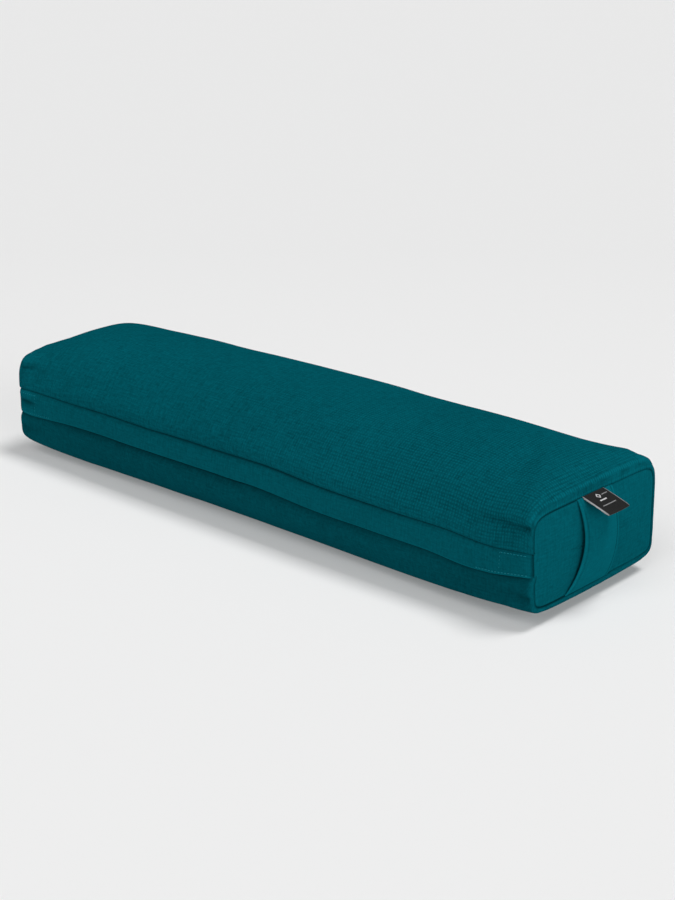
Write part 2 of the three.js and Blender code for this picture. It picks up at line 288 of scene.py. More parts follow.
class Nodes:
    """A short way to write a material's node tree, with one principled shader."""

    def __init__(self, name):
        self.material = bpy.data.materials.new(name)
        self.material.use_nodes = True
        self.tree = self.material.node_tree
        self.tree.nodes.clear()
        output = self.add("ShaderNodeOutputMaterial")
        self.shader = self.add("ShaderNodeBsdfPrincipled")
        self.value(self.shader.outputs[0], output.inputs["Surface"])
        self.place = self.add("ShaderNodeTexCoord").outputs["Object"]

    def add(self, kind, **settings):
        node = self.tree.nodes.new(kind)
        for key, value in settings.items():
            setattr(node, key, value)
        return node

    def value(self, item, socket):
        """Links an output to the socket, or sets a plain value on it."""
        if isinstance(item, bpy.types.NodeSocket):
            self.tree.links.new(item, socket)
        else:
            socket.default_value = item

    def give(self, name, item):
        self.value(item, self.shader.inputs[name])

    def math(self, operation, *items):
        node = self.add("ShaderNodeMath", operation=operation)
        for item, socket in zip(items, node.inputs):
            self.value(item, socket)
        return node.outputs[0]

    def times(self, a, b):
        return self.math("MULTIPLY", a, b)

    def times_plus(self, a, b, c):
        return self.math("MULTIPLY_ADD", a, b, c)

    def noise(self, scale, detail, roughness, vector=None):
        node = self.add("ShaderNodeTexNoise")
        for name, item in (("Scale", scale), ("Detail", detail), ("Roughness", roughness)):
            node.inputs[name].default_value = item
        self.value(vector or self.place, node.inputs["Vector"])
        return node.outputs["Fac"]

    def remap(self, item, low_in, high_in, low_out, high_out):
        node = self.add("ShaderNodeMapRange")
        for item, socket in zip((item, low_in, high_in, low_out, high_out), node.inputs):
            self.value(item, socket)
        return node.outputs[0]

    def mix(self, factor, a, b):
        node = self.add("ShaderNodeMix", data_type="RGBA")
        self.value(factor, node.inputs[0])
        self.value(a, node.inputs[6])
        self.value(b, node.inputs[7])
        return node.outputs[2]

    def bump(self, height, distance, strength):
        node = self.add("ShaderNodeBump")
        for name, item in (("Distance", distance), ("Strength", strength), ("Height", height)):
            self.value(item, node.inputs[name])
        return node.outputs[0]

    def split(self, vector):
        node = self.add("ShaderNodeSeparateXYZ")
        self.value(vector, node.inputs[0])
        return node.outputs

    def joined(self, x, y):
        node = self.add("ShaderNodeCombineXYZ")
        self.value(x, node.inputs[0])
        self.value(y, node.inputs[1])
        return node.outputs[0]

    def attribute(self, name, output):
        return self.add("ShaderNodeAttribute", attribute_name=name).outputs[output]

    def along(self):
        """The cloth's own coordinates in metres: along the warp, then along the weft."""
        return self.split(self.attribute("weave", "Vector"))[:2]

    def wave(self, item, length):
        return self.math("SINE", self.times(item, 2 * math.pi / length))

    def plain_weave(self, warp, weft, pitch):
        """Height of a plain weave from 0 to 1: threads cross over and under at each step."""
        over = self.times(self.wave(warp, 2 * pitch), self.wave(weft, 2 * pitch))
        return self.times_plus(self.math("ABSOLUTE", over), 0.5, self.times_plus(over, 0.25, 0.25))


COARSE_THREAD = 2.9 * MM  # spacing of the dotted rows that show towards the handle end
CLOTH_ROUGHNESS, CLOTH_SHEEN = 0.9, 0.05
BLACK = (0, 0, 0, 1)


def fabric(name, dark, light, pitch, depth, contrast=1.0, grid=0.0):
    """A woven cloth: threads in relief, uneven yarn, slow colour drift, folds lighter from wear and
    painted highlight, painted shade, and a soft sheen.
    """
    n = Nodes(name)
    warp, weft = n.along()
    weave = n.plain_weave(warp, weft, pitch)
    lengthwise = n.noise(700, 2, 0.6, n.joined(n.times(warp, 0.1), weft))
    crosswise = n.noise(700, 2, 0.6, n.joined(warp, n.times(weft, 0.1)))
    slub = n.times_plus(lengthwise, 0.5, n.times(crosswise, 0.5))
    shade = n.times_plus(weave, 0.2, n.times(slub, 1.1))
    shade = n.times_plus(n.noise(7, 3, 0.55), 0.3, shade)
    shade = n.times_plus(n.noise(380, 2, 0.6), 0.55, shade)
    height = n.times_plus(slub, 0.6, weave)
    if grid:
        columns = n.times_plus(n.wave(warp, COARSE_THREAD), 0.5, 0.5)
        rows = n.times_plus(n.wave(weft, COARSE_THREAD), 0.5, 0.5)
        towards_handle = n.remap(warp, -0.1, 0.2, 0.1, 1.0)
        upper_half = n.remap(n.split(n.place)[2], 0.06, 0.085, 0.1, 1.0)
        dots = n.math("SUBTRACT", n.times(columns, rows), 0.25)
        dots = n.times(dots, n.times(towards_handle, upper_half))
        shade = n.times_plus(dots, grid, shade)
        height = n.times_plus(dots, grid, height)
    colour = n.mix(n.remap(shade, 1 - 0.5 / contrast, 1 + 0.5 / contrast, 0.0, 1.0), dark, light)
    tone = n.attribute("tone", "Fac")
    # positive tone lightens the cloth: partly wear, partly painted highlight
    wear_and_painted_light = tuple(min(1.0, part * 1.3) for part in light[:3]) + (1,)
    colour = n.mix(n.remap(tone, 0.0, 1.0, 0.0, 1.0), colour, wear_and_painted_light)
    # negative tone darkens it towards black: painted shade
    colour = n.mix(n.remap(tone, 0.0, -1.0, 0.0, 1.0), colour, n.mix(0.5, BLACK, dark))
    n.give("Base Color", colour)
    n.give("Roughness", n.remap(slub, 0.2, 0.8, CLOTH_ROUGHNESS - 0.06, CLOTH_ROUGHNESS + 0.06))
    n.give("Normal", n.bump(height, depth, 0.8))
    n.give("Sheen Weight", CLOTH_SHEEN)
    n.give("Sheen Roughness", 0.5)
    n.give("Sheen Tint", tuple(part / max(light[:3]) for part in light[:3]) + (1,))
    n.give("Specular IOR Level", 0.0)
    return n.material


def teal(scale):
    return (0.0010 * scale, 0.0850 * scale, 0.1090 * scale, 1)


def grey(value):
    return (value, value, value * 1.02, 1)


CANVAS = fabric("teal canvas", teal(0.46), teal(1.24), 0.6 * MM, 0.22 * MM, contrast=1.6, grid=0.4)
PANEL = fabric("teal panel canvas", teal(0.54), teal(1.22), 0.6 * MM, 0.18 * MM, contrast=1.3)
STRAP = fabric("teal strap cloth", teal(0.8), teal(1.42), 0.5 * MM, 0.18 * MM, contrast=1.3)
TAPE = fabric("zip tape", teal(0.5), teal(0.95), 0.4 * MM, 0.12 * MM)
LINING = fabric("lining cotton", (0.5, 0.44, 0.31, 1), (0.72, 0.66, 0.51, 1), 0.45 * MM, 0.15 * MM)


def label_material():
    """Black damask with a selvage and a woven motif of pale bars and a diamond, with no lettering."""
    n = Nodes("black damask label")
    out, across = n.along()
    thread = n.wave(out, 0.5 * MM)
    yarn = n.noise(1500, 2, 0.6)

    def between(value, low_edge, high_edge):
        above = n.math("GREATER_THAN", value, low_edge * MM)
        return n.times(above, n.math("LESS_THAN", value, high_edge * MM))

    def bar(out_low, out_high, across_low, across_high):
        return n.times(between(out, out_low, out_high), between(across, across_low, across_high))

    off_centre = n.math("ABSOLUTE", n.math("SUBTRACT", out, 7.5 * MM))
    off_middle = n.math("ABSOLUTE", n.math("ADD", across, 0.5 * MM))
    diamond = between(n.math("ADD", off_centre, off_middle), 1.5, 2.9)
    marks = n.math("MAXIMUM", diamond, bar(12.2, 13.6, -5, 4))
    faint = n.math("MAXIMUM", bar(7.0, 8.0, 4, 12), bar(18.4, 19.3, -9, 9))
    marks = n.times(marks, n.remap(thread, -1.0, 1.0, 0.35, 1.0))
    faint = n.times(faint, n.remap(thread, -1.0, 1.0, 0.1, 0.45))
    black = n.mix(yarn, grey(0.004), grey(0.016))
    colour = n.mix(n.math("MAXIMUM", marks, faint), black, grey(0.8))
    n.give("Base Color", n.mix(n.attribute("tone", "Fac"), colour, grey(0.62)))
    n.give("Roughness", n.remap(yarn, 0.2, 0.8, 0.5, 0.68))
    n.give("Normal", n.bump(thread, 0.06 * MM, 0.7))
    n.give("Sheen Weight", 0.05)
    n.give("Specular IOR Level", 0.12)
    return n.material


LABEL = label_material()


def weave_coordinates(piece, warp, weft, tone=None):
    """Stores the cloth's own coordinates on each vertex, so that the threads follow the cloth.

    tone is 1 where a fold is lighter, partly from wear and partly painted highlight, and -1 where painted
    shade darkens the cloth; on the label it marks the pale selvage."""
    attribute = piece.data.attributes.new("weave", "FLOAT_VECTOR", "POINT")
    flat = np.stack([np.ravel(warp), np.ravel(weft), np.zeros(np.size(warp))], -1)
    attribute.data.foreach_set("vector", flat.astype(np.float32).ravel())
    attribute = piece.data.attributes.new("tone", "FLOAT", "POINT")
    tones = np.zeros(np.size(warp)) if tone is None else np.ravel(tone)
    attribute.data.foreach_set("value", tones.astype(np.float32))


def speckled(name, noise, dark, light, rough, relief, **shader_values):
    """A plain material, mottled by one noise: its colours, its range of roughness and its relief."""
    n = Nodes(name)
    tone = n.noise(*noise)
    n.give("Base Color", n.mix(tone, dark, light))
    n.give("Roughness", n.remap(tone, *rough))
    n.give("Normal", n.bump(tone, *relief))
    for socket, item in shader_values.items():
        n.give(socket, item)
    return n.material


def zip_metal():
    n = Nodes("zip metal")
    wear = n.noise(260, 4, 0.6)
    n.give("Base Color", n.mix(wear, (0.2, 0.19, 0.18, 1), (0.42, 0.41, 0.39, 1)))
    n.give("Roughness", n.remap(wear, 0.3, 0.7, 0.24, 0.42))
    n.give("Normal", n.bump(n.noise(1500, 2, 0.5), 0.03 * MM, 0.5))
    n.give("Metallic", 1.0)
    return n.material


def hull_material():
    n = Nodes("buckwheat hulls")
    cells = n.add("ShaderNodeTexVoronoi")
    n.value(230, cells.inputs["Scale"])
    n.value(n.place, cells.inputs["Vector"])
    tone = n.times_plus(n.noise(300, 2, 0.5), 0.6, cells.outputs["Distance"])
    n.give("Base Color", n.mix(tone, (0.022, 0.012, 0.007, 1), (0.13, 0.075, 0.04, 1)))
    n.give("Roughness", n.remap(tone, 0.0, 1.0, 0.35, 0.7))
    n.give("Normal", n.bump(cells.outputs["Distance"], 1.6 * MM, 1.0))
    return n.material


THREAD = speckled(
    "sewing thread", (2200, 1, 0.5), teal(1.6), teal(2.4), (0.2, 0.8, 0.4, 0.6), (0.1 * MM, 0.6),
    **{"Specular IOR Level": 0.1},
)
NYLON = speckled(
    "zip nylon", (500, 2, 0.5), teal(0.45), teal(0.8), (0.2, 0.8, 0.32, 0.46), (0.05 * MM, 0.4)
)
METAL = zip_metal()
HULLS = hull_material()


def dress(piece, material, slot, body, *nodes):
    """Gives a piece its material and the body it rides on, and hides the CAD nodes it stands for. slot is
    not used.
    """
    piece.data.materials.clear()
    piece.data.materials.append(material)
    if nodes:
        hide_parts(*nodes)
    if body:
        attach(piece, body)
    return piece


# ---- the canvas wrap: top, back, underside and front ----

WRAP_STATIONS, WRAP_POINTS = 190, 250
FINE_STEPS = 1200  # of the curve that an evenly stepped section is taken from
TURN_STEPS = (0.85, 0.6, 0.35, 0.15, 0.0)  # millimetres from the seam
TURN_POINTS = 5  # the cloth edges folded in towards the zip
SLOT_TOP_GAP = 0.5 * MM
SLOT_LOW_RISE = 4.5 * MM  # how far the lower cloth edge reaches up behind the flap
SLIDER_ROOM = 2.0 * MM  # the lower cloth edge stays this far below the zip's slider


def wrap_row(x):
    """The wrap's section at x, from the flap's top edge, over the top and round to its lower edge."""
    top, lower = flap_edges(x)
    shape = section(x)
    start = front_angle(shape, top + SLOT_TOP_GAP)
    lower_edge = np.minimum(lower + SLOT_LOW_RISE, SLIDER_LOW - SLIDER_ROOM)
    stop = front_angle(shape, lower_edge) - 2 * math.pi
    y, z = section_points(shape, np.linspace(start, stop, FINE_STEPS))
    y, z = evenly(y, z, WRAP_POINTS)
    return np.stack([np.full(WRAP_POINTS, x), y + seam_lean(x, y, z), z], -1)


def gathers_and_stuffing(points):
    """How far the wrap stands out from its plain form where it is gathered and unevenly stuffed."""
    x, y, z = np.moveaxis(points, -1, 0)
    from_seam = HALF - np.abs(x)
    around = distance_around(points)
    gathers = soft_noise(around, np.sign(x) * 3, 0 * x, 9 * MM, 1)
    gathers = np.abs(gathers) ** 0.7 * np.sign(gathers) * np.where(x > 0, 0.6, 0.4) * MM
    gathers *= np.exp(-from_seam / (9 * MM)) * smooth(0.5 * MM, 4 * MM, from_seam)
    stuffing = 0.8 * MM * soft_noise(x, y, z, 90 * MM, 2) + 0.3 * MM * soft_noise(x, y, z, 34 * MM, 3)
    return gathers + stuffing * smooth(0, 30 * MM, from_seam) * smooth(0, 12 * MM, z)


# Folds that run in from the end seams: end, side, height and rise in millimetres, depth, reach,
# and how wide the crease is.
CORNER_FOLDS = (
    (1, -1, 90.5, -0.06, 4.2, 40, 1.9),
    (1, -1, 29, 0.1, 1.6, 18, 3.0),
    (1, 1, 97, 0.25, 4.2, 26, 2.2),
    (1, 1, 30, 0.1, 1.4, 20, 3.0),
    (-1, -1, 92, 0.0, 3.6, 20, 2.2),
    (-1, -1, 28, 0.1, 1.2, 20, 3.0),
    (-1, 1, 89, 0.02, 3.4, 34, 2.4),
    (-1, 1, 29, 0.1, 1.4, 22, 3.0),
)


def corner_folds(points):
    """How far the wrap stands out at the folds in its corners, with painted shade in each crease and a
    painted highlight on the lip above it.
    """
    x, y, z = np.moveaxis(points, -1, 0)
    from_seam = HALF - np.abs(x)
    out, tone = np.zeros(x.shape), np.zeros(x.shape)
    inboard = smooth(0, 3 * MM, from_seam)
    for sign, side_y, height, rise, depth, reach, sharp in CORNER_FOLDS:
        here = smooth(0, 20 * MM, side_y * y) * smooth(0, 10 * MM, sign * x)
        line = (height + rise * from_seam / MM) * MM
        fade = np.exp(-((from_seam / (reach * MM)) ** 1.5)) * inboard * here
        above = z - line
        crease = np.exp(-np.abs(above) / (sharp * MM))
        lip = bump(above, 2.6 * sharp * MM, 2.2 * sharp * MM)
        out = out + fade * (0.6 * lip - crease) * depth * MM
        # painted highlight on the lip, painted shade in the crease
        tone = tone + fade * (0.2 * lip - 0.9 * crease) * min(1, depth / 3)
    return out, tone


def row_normals(row):
    """Unit normals of one section, in its own plane, pointing outwards."""
    along = np.gradient(row[:, 1:], axis=0)
    return facing_away(unit(np.stack([along[:, 1], -along[:, 0]], -1)), row[:, 1:] - END_MIDDLE)


def turned_in(distance, turn):
    """How far a cloth edge has rounded in, distance from its seam."""
    reach, amount = turn
    part = max(0.0, 1 - distance / reach)
    return amount * (1 - math.sqrt(1 - part**2))


def plain_rows():
    """The wrap's plain form as a grid of points, up to where it turns in to the end seams."""
    return np.array([wrap_row(x) for x in stations(WRAP_STATIONS, HALF - WRAP_TURN[0])])


def stuffed_rows(plain):
    """The plain form, gathered and stuffed, settled by a cloth simulation, then folded at its corners."""
    points = plain + outward_normals(plain) * gathers_and_stuffing(plain)[..., None]
    points = settle(points)
    out, tone = corner_folds(points)
    return points + outward_normals(points) * out[..., None], tone


def step_behind_flap(points):
    """Below the zip the flap lies on the cloth, so the cloth sits a little further in there."""
    half_way = np.arange(WRAP_POINTS)[None, :] > WRAP_POINTS // 2
    lower_front = (points[..., 1] < 0) & half_way
    lower_edge = flap_edges(points[..., 0])[1]
    step_in = 3.0 * MM * smooth(lower_edge - 9 * MM, lower_edge + 0.5 * MM, points[..., 2])
    points = points.copy()
    points[..., 1] += np.where(lower_front, step_in, 0)
    points[..., 2] = np.maximum(points[..., 2], 0)
    return points


def add_seam_turns(plain, points):
    """Adds at both ends the rows where the wrap rounds in to the seam."""
    ends = {}
    for sign, row_index in ((-1, 0), (1, -1)):
        offset = points[row_index] - plain[row_index]
        ends[sign] = []
        for step in TURN_STEPS:
            row = wrap_row(sign * (HALF - step * MM))
            row[:, 1:] -= row_normals(row) * turned_in(step * MM, WRAP_TURN)
            ends[sign].append(row + offset * (step * MM / WRAP_TURN[0]) ** 2)
    return np.concatenate([np.array(ends[-1][::-1]), points, np.array(ends[1])])


def spread_out(field, reach):
    """The field averaged over its neighbours along both ways of its grid, twice."""
    for axis in (0, 1, 0, 1):
        padded = np.pad(field, [(reach, reach) if k == axis else (0, 0) for k in range(3)], mode="edge")
        place = np.arange(field.shape[axis])
        shifted = [np.take(padded, place + k, axis) for k in range(2 * reach + 1)]
        field = sum(shifted) / len(shifted)
    return field


def refined(field, places, count):
    """The field's rows, known at some places, filled in at every place up to count."""
    every = np.arange(count)
    columns = [np.interp(every, places, column) for column in field.reshape(len(places), -1).T]
    return np.stack(columns, -1).reshape(count, *field.shape[1:])


SETTLE_GRID = (110, 96)  # rows and columns of the coarser grid
SETTLE_FRAMES = 16
SETTLE_CAP = 3.5 * MM  # the most that the cloth moves
SETTLE_BROAD, SETTLE_TAKEN_OUT = 7, 0.9  # the broad part of the movement, which would change the outline


CLOTH_SETTINGS = {
    "quality": 6,
    "mass": 0.35,
    "tension_stiffness": 40,
    "compression_stiffness": 40,
    "shear_stiffness": 15,
    "bending_stiffness": 1.5,
    "use_pressure": True,
    "uniform_pressure_force": 4,
    "vertex_group_mass": "held",
    "pin_stiffness": 1,
    "vertex_group_shrink": "slack",
    "shrink_min": 0.004,
    "shrink_max": -0.035,
}


def settle(points):
    """Lets the stuffed cloth find its own shape: a cloth simulation of a coarser grid."""
    rows, columns = points.shape[:2]
    pick_rows = np.unique(np.linspace(0, rows - 1, SETTLE_GRID[0]).round().astype(int))
    pick_columns = np.unique(np.linspace(0, columns - 1, SETTLE_GRID[1]).round().astype(int))
    coarse = points[np.ix_(pick_rows, pick_columns)]
    shape = coarse.shape[:2]
    faces = [face[::-1] for face in grid_faces(*shape)]
    pad = mesh_object("settling_pad", coarse.reshape(-1, 3), faces)
    edge = np.pad(np.zeros((shape[0] - 2, shape[1] - 2)), 1, constant_values=1)
    held = pad.vertex_groups.new(name="held")
    held.add(np.flatnonzero(edge).tolist(), 1.0, "REPLACE")
    slack = pad.vertex_groups.new(name="slack")
    from_seam = HALF - np.abs(coarse[..., 0])
    for index, amount in enumerate(np.exp(-from_seam / (22 * MM)).ravel()):
        slack.add([index], float(amount), "REPLACE")
    modifier = pad.modifiers.new("settle", "CLOTH")
    for name, number in CLOTH_SETTINGS.items():
        setattr(modifier.settings, name, number)
    modifier.settings.effector_weights.gravity = 0
    modifier.collision_settings.use_collision = False
    scene = bpy.context.scene
    for frame_number in range(1, SETTLE_FRAMES + 1):
        scene.frame_set(frame_number)
    settled = pad.evaluated_get(bpy.context.evaluated_depsgraph_get())
    after = np.empty(coarse.size)
    settled.data.vertices.foreach_get("co", after)
    scene.frame_set(1)
    bpy.data.objects.remove(pad)
    moved = after.reshape(coarse.shape) - coarse
    moved -= SETTLE_TAKEN_OUT * spread_out(moved, SETTLE_BROAD)
    distance = np.linalg.norm(moved, axis=2, keepdims=True)
    moved *= np.minimum(1, SETTLE_CAP / np.maximum(distance, 1e-9))
    moved *= smooth(0, 14 * MM, coarse[..., 2])[..., None]  # the underside rests on the floor
    moved = refined(moved, pick_rows, rows)
    moved = refined(np.swapaxes(moved, 0, 1), pick_columns, columns)
    return points + np.swapaxes(moved, 0, 1)


LOWER_SHADE, UNDER_FLAP_SHADE = 0.36, 0.6  # painted shade on the cloth below the flap, and a painted shadow right under its edge
EDGE_STEP = 1.7 * MM  # length of cloth from one folded-in row to the next


def build_wrap(plain, stuffed, fold_tone):
    """The whole wrap as one cloth, with its coordinates, and with tones that paint shade at its seams,
    creases and below the flap, and wear and highlights on its folds.
    """
    points = step_behind_flap(add_seam_turns(plain, stuffed))
    points[..., 2] = np.maximum(points[..., 2], CANVAS_THICK)
    around = distance_around(points)
    around -= around[:, WRAP_POINTS // 3 : WRAP_POINTS // 3 + 1]
    turned = add_turned_edges(points)
    warp = np.repeat(points[:, :1, 0], turned.shape[1], axis=1)
    before = around[:, :1] - np.arange(TURN_POINTS, 0, -1) * EDGE_STEP
    after = around[:, -1:] + np.arange(1, TURN_POINTS + 1) * EDGE_STEP
    weft = np.concatenate([before, around, after], axis=1)
    from_seam = HALF - np.abs(turned[..., 0])
    nearest = np.where(turned[..., :1] < 0, turned[:1], turned[-1:])
    tone = seam_tone(np.linalg.norm(turned - nearest, axis=2), turned[..., 1])
    extra = len(TURN_STEPS)
    tone[extra:-extra, TURN_POINTS:-TURN_POINTS] += fold_tone
    # painted shade on the cloth below the flap, darkest right under its edge where the flap's shadow
    # falls
    lower_edge = flap_edges(turned[..., 0])[1]
    low_front = (turned[..., 1] < 0) & (turned[..., 2] < lower_edge + 4 * MM)
    painted_flap_shadow = UNDER_FLAP_SHADE * np.exp(-np.abs(lower_edge - turned[..., 2]) / (2.2 * MM))
    tone -= np.where(low_front, LOWER_SHADE + painted_flap_shadow, 0) * smooth(0, 4 * MM, from_seam)
    # painted shade on the edges turned in behind the zip
    tone[:, :TURN_POINTS] = tone[:, -TURN_POINTS:] = -0.6
    turned, warp, weft, tone = tuck_ends(turned, warp, weft, tone)
    rows_made, columns = turned.shape[:2]
    piece = mesh_object("canvas_cover", turned.reshape(-1, 3), grid_faces(rows_made, columns))
    weave_coordinates(piece, warp, weft, tone)
    return piece


def seam_tone(from_seam, y):
    """Painted shade in the seam's groove, stronger towards the zip side, and beside it a fold made
    lighter, partly by wear and partly by painted highlight.
    """
    # painted shade along the seam
    dark = bump(np.maximum(from_seam, 0), 0, 0.8 * MM) * (0.35 + 0.65 * smooth(50 * MM, -50 * MM, y))
    return 0.12 * bump(from_seam, 2.2 * MM, 0.8 * MM) - dark


def add_turned_edges(points):
    """Adds, at both edges of the wrap, the cloth that is folded in to the zip tapes."""
    first, last = points[:, 0], points[:, -1]
    depth = np.abs(TAPE_Y) - 1 * MM

    def folded(edge, lift):
        inner = -np.minimum(np.abs(edge[:, 1]) - 2 * MM, depth)
        rows = []
        for step in range(1, TURN_POINTS + 1):
            part = (step / TURN_POINTS) ** 0.8
            fold = edge.copy()
            fold[:, 1] += (inner - edge[:, 1]) * part
            fold[:, 2] += lift * math.sin(math.pi / 2 * min(1, 2 * part))
            rows.append(fold)
        return np.stack(rows, axis=1)

    before = folded(first, -0.5 * MM)[:, ::-1]
    after = folded(last, 0.3 * MM)
    return np.concatenate([before, points, after], axis=1)


def tuck_ends(points, warp, weft, tone):
    """Adds the seam allowance inside each end of the wrap."""
    allowances = []
    for end, sign in ((points[0], -1), (points[-1], 1)):
        rows = []
        for back, inset in ((0.5, 0.5), (2.5, 0.9), (5.0, 1.0)):
            row = end.copy()
            row[:, 0] = sign * (HALF - back * MM)
            row[:, 1:] -= row_normals(row) * inset * MM
            rows.append(row)
        allowances.append(np.array(rows[::sign]))
    steps = np.array([0.5, 2.6, 5.1])[:, None] * MM
    points = np.concatenate([allowances[0], points, allowances[1]])
    warp = np.concatenate([warp[:1] - steps[::-1], warp, warp[-1:] + steps])
    added = ((3, 3), (0, 0))
    # the allowances get tone -1: painted shade
    return points, warp, np.pad(weft, added, mode="edge"), np.pad(tone, added, constant_values=-1)


# ---- the end panels ----

END_COUNT = 176  # points around an end


def end_outline(sign):
    """The end seam's outline, as y and z of points at equal steps."""
    y, z = section_points(section(sign * HALF), np.linspace(0, 2 * math.pi, 1600))
    y, z = evenly(y, z, END_COUNT + 1)
    return np.stack([y[:-1], z[:-1]], -1)


# Distances from the seam, in millimetres, of the rings of points that make an end panel.
END_RINGS = (0, 0.25, 0.6, 1, 1.5, 2, 2.6, 3.5, 5, 7, 9.5, 12.5, 16, 20, 24.5, 29, 33.5, 37, 39.5)
BORDER_INSET = 0.4 * MM
END_PUFF = 4.0 * MM


def build_end(name, sign):
    """A panel that bulges a little and rounds back into the seam around its edge."""
    toward = end_outline(sign) - END_MIDDLE
    half_size = np.array([END_HALF_WIDTH, END_HEIGHT / 2])
    around = np.arctan2(toward[:, 1], toward[:, 0]) * 60 * MM
    gather = soft_noise(around, sign, 0, 8 * MM, sign + 8)
    rings, distances = [], []
    for distance in END_RINGS:
        from_edge = distance * MM
        ring = END_MIDDLE + toward * (1 - (BORDER_INSET + from_edge) / half_size)
        puff = END_PUFF * (1 - (1 - from_edge / half_size[1]) ** 2.2)
        uneven = soft_noise(ring[:, 0], ring[:, 1], 0, 38 * MM, sign + 5)
        puff = puff + 0.5 * MM * uneven * smooth(0, 20 * MM, from_edge)
        puff = puff + 0.5 * MM * gather * math.exp(-from_edge / (7 * MM)) * smooth(0, 3 * MM, from_edge)
        x = sign * (HALF + puff - turned_in(from_edge, END_TURN))
        ring[:, 0] += seam_lean(sign * HALF, ring[:, 0], ring[:, 1])
        rings.append(np.column_stack([x, ring]))
        distances.append(np.full(END_COUNT, from_edge))
    allowance = rings[0].copy()
    allowance[:, 0] -= sign * 4 * MM
    points = np.array([allowance] + rings)
    distances = np.array([np.zeros(END_COUNT)] + distances)
    vertices = points.reshape(-1, 3)
    hub = np.array([[vertices[-END_COUNT:, 0].mean(), *END_MIDDLE]])
    last = (len(points) - 1) * END_COUNT
    faces = grid_faces(len(points), END_COUNT, closed=True)
    faces += [(last + i, last + (i + 1) % END_COUNT, len(vertices)) for i in range(END_COUNT)]
    if sign < 0:
        faces = [face[::-1] for face in faces]
    piece = mesh_object(name, np.concatenate([vertices, hub]), faces)
    # painted shade at the seam and a lighter rim, partly wear and partly painted highlight
    tone = np.append(seam_tone(distances, points[..., 1]).ravel() * 0.9, 0)
    weave_coordinates(piece, np.append(vertices[:, 2], hub[0, 2]), np.append(vertices[:, 1], 0), tone)
    return piece


CORD_SIDES, CORD_RADIUS = 8, 0.9 * MM
CORD_INSIDE = 2.0 * MM  # how far the cord lies inside the seam's outline


def build_seam_cord(name, sign):
    """The stitched allowances inside an end seam, which close the line between the two cloths."""
    outline = end_outline(sign)
    inward = unit(END_MIDDLE - outline)
    vertices = []
    for point, into in zip(outline, inward):
        for turn in round_turns(CORD_SIDES):
            y, z = point + into * (CORD_INSIDE + CORD_RADIUS * math.cos(turn))
            x = sign * (HALF - 2.1 * MM) + CORD_RADIUS * math.sin(turn)
            vertices.append((x, y + seam_lean(sign * HALF, y, z), z))
    faces = grid_faces(END_COUNT, CORD_SIDES, closed=True)
    last = (END_COUNT - 1) * CORD_SIDES
    faces += [(last + k, last + (k + 1) % CORD_SIDES, (k + 1) % CORD_SIDES, k) for k in range(CORD_SIDES)]
    piece = mesh_object(name, vertices, faces)
    vertices = np.array(vertices)
    # the cord is painted in full shade
    weave_coordinates(piece, vertices[:, 1], vertices[:, 2], np.full(len(vertices), -1.0))
    return piece


# ---- the lining bag and the filling ----

SLOT_COLUMNS = 3  # columns of a bag's grid at each edge of the slot that lie behind the zip
ACROSS_SLOT = 8  # columns that close it there
BAG_CAP = (0.93, 0.8, 0.6, 0.35)  # sizes of the rings that close its ends, as parts of the rim
BAG_BULGE = 3.0 * MM


def closed_bag(stuffed, inset, end_gap, behind_zips):
    """A closed bag inside the cover, inset from it, and further in behind the two zips."""
    points = step_behind_flap(stuffed)
    points = points - outward_normals(points) * inset
    points[..., 0] *= (HALF - end_gap) / (HALF - WRAP_TURN[0])
    points[..., 2] = np.maximum(points[..., 2], inset)
    recess = SLIDER_BACK + behind_zips + 0.8 * MM
    for edge in (slice(SLOT_COLUMNS), slice(-SLOT_COLUMNS, None)):
        points[:, edge, 1] = np.maximum(points[:, edge, 1], recess)
    first, last = points[:, :1], points[:, -1:]
    across = [last + (first - last) * part for part in np.linspace(0, 1, ACROSS_SLOT + 2)[1:-1]]
    points = np.concatenate([points] + across, axis=1)
    back_low, back_high = low("lining_zip_tape_lower"), high("lining_zip_tape_upper")
    near_zip = smooth(back_high[0] + 44 * MM, back_high[0] + 26 * MM, np.abs(points[..., 0]))
    away = np.abs(points[..., 2] - (back_low[2] + back_high[2]) / 2)
    near_zip = near_zip * smooth(26 * MM, 17 * MM, away) * (points[..., 1] > 0)
    deepest = low("lining_zip_slider")[1] - behind_zips
    points[..., 1] -= np.maximum(0, points[..., 1] - deepest) * near_zip
    rows, columns = points.shape[:2]
    vertices = [points.reshape(-1, 3)]
    faces = grid_faces(rows, columns, closed=True)
    total = rows * columns
    around = [(k, (k + 1) % columns) for k in range(columns)]
    for end_row, sign in ((0, -1), (rows - 1, 1)):
        rim = points[end_row]
        middle = np.array([rim[0, 0], *END_MIDDLE])
        before, cap = end_row * columns, []
        for shrink in BAG_CAP:
            ring = middle + (rim - middle) * shrink
            ring[:, 0] += sign * BAG_BULGE * (1 - shrink**2.2)
            vertices.append(ring)
            cap += [(before + k, total + k, total + after, before + after) for k, after in around]
            before = total
            total += columns
        vertices.append([middle + [sign * BAG_BULGE, 0, 0]])
        cap += [(before + k, total, before + after) for k, after in around]
        faces += cap if sign < 0 else [face[::-1] for face in cap]
        total += 1
    return np.concatenate(vertices), faces


ZIP_HEM = 1.5 * MM  # how far the lining reaches over the edges of its zip's tapes


